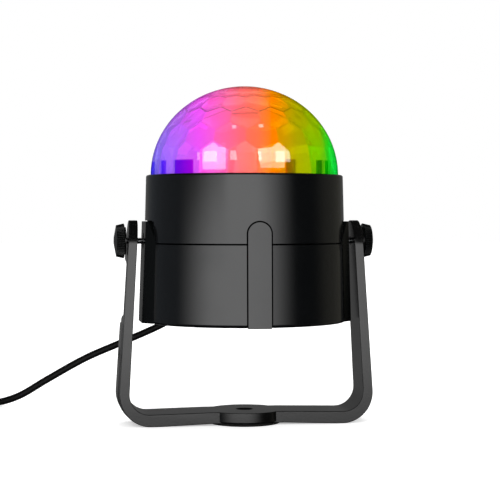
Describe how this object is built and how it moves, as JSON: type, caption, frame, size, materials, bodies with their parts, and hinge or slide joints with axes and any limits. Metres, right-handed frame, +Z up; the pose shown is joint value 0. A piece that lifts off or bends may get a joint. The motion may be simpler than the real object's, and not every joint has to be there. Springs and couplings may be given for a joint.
{
  "type": "disco ball light",
  "caption": "Small party light: a clear faceted dome turns on a round head that tilts in a U-shaped bracket with clamp knobs, with a lead and plug.",
  "frame": {"origin": "on the floor under the middle of the object, without its free cord", "axes": "+Z up, +X to the right along the pivot, -Y to the front"},
  "size_m": [0.2081, 0.1089, 0.135],
  "materials": {
    "shell_black": "moulded black plastic, half gloss",
    "bracket_black": "moulded black plastic, half gloss",
    "knob_black": "moulded black plastic, ribbed",
    "inner_black": "plain moulded plastic",
    "cord_black": "soft black cord jacket",
    "pad_rubber": "matt black rubber",
    "dome_clear": "clear polished plastic, faceted inside",
    "clear_plastic": "clear polished plastic",
    "white_plastic": "plain white plastic",
    "board_green": "circuit board lacquer",
    "steel": "plated steel",
    "aluminium": "plain aluminium",
    "brass": "turned brass",
    "red_light": "lit red chip",
    "green_light": "lit green chip",
    "blue_light": "lit blue chip"
  },
  "bodies": {
    "stand": {"stand_bracket": "bracket_black", "foot_pad": "pad_rubber", "cord_lead": "cord_black", "cord_coil": "cord_black", "plug_grip": "cord_black", "plug_shell": "steel", "plug_tongue": "white_plastic"},
    "head": {"upper_shell": "shell_black", "lower_shell": "shell_black", "front_strap": "shell_black", "rear_strap": "shell_black", "left_pivot_pad": "shell_black", "right_pivot_pad": "shell_black", "left_thread_insert": "brass", "right_thread_insert": "brass", "cord_gland": "cord_black", "deck_plate": "inner_black", "heat_sink": "aluminium", "led_board": "white_plastic", "red_led": "red_light", "green_led": "green_light", "blue_led": "blue_light", "red_lens": "clear_plastic", "green_lens": "clear_plastic", "blue_lens": "clear_plastic", "light_plate": "white_plastic", "gear_motor": "steel", "control_board": "board_green", "microphone": "aluminium", "tact_switch": "inner_black", "driver_chip": "inner_black", "power_socket": "white_plastic", "case_screw_1": "steel", "case_screw_2": "steel", "case_screw_3": "steel", "case_screw_4": "steel", "deck_screw_1": "steel", "deck_screw_2": "steel", "deck_screw_3": "steel", "deck_screw_4": "steel", "plate_screw_1": "steel", "plate_screw_2": "steel", "plate_screw_3": "steel", "motor_screw_1": "steel", "motor_screw_2": "steel", "board_screw_1": "steel", "board_screw_2": "steel"},
    "dome_rotor": {"dome": "dome_clear", "dome_ring_gear": "inner_black"},
    "pinion_shaft": {"pinion": "white_plastic", "motor_shaft": "steel"},
    "left_clamp": {"left_knob": "knob_black", "left_knob_stud": "steel"},
    "right_clamp": {"right_knob": "knob_black", "right_knob_stud": "steel"},
    "button": {"mode_button": "white_plastic"}
  },
  "joints": [
    {"name": "head_tilt", "type": "hinge", "parent": "stand", "child": "head", "pos_m": [0, 0, 0.0732], "axis": [1, 0, 0], "range_deg": [-90, 90]},
    {"name": "dome_spin", "type": "hinge", "parent": "head", "child": "dome_rotor", "pos_m": [0, 0, 0.0994], "axis": [0, 0, 1], "continuous": true},
    {"name": "pinion_spin", "type": "hinge", "parent": "head", "child": "pinion_shaft", "pos_m": [0, 0.027, 0.0894], "axis": [0, 0, 1], "continuous": true},
    {"name": "left_knob_turn", "type": "hinge", "parent": "stand", "child": "left_clamp", "pos_m": [-0.0505, 0, 0.0732], "axis": [-1, 0, 0], "range_deg": [0, 360]},
    {"name": "right_knob_turn", "type": "hinge", "parent": "stand", "child": "right_clamp", "pos_m": [0.0505, 0, 0.0732], "axis": [1, 0, 0], "range_deg": [0, 360]},
    {"name": "button_press", "type": "slide", "parent": "head", "child": "button", "axis": [0, 0, 1], "range_m": [0, 0.0005], "stiffness_N_per_m": 400, "springref_m": -0.0005}
  ],
  "couplings": [
    {"joint": "pinion_spin", "follows": "dome_spin", "ratio": 6}
  ]
}
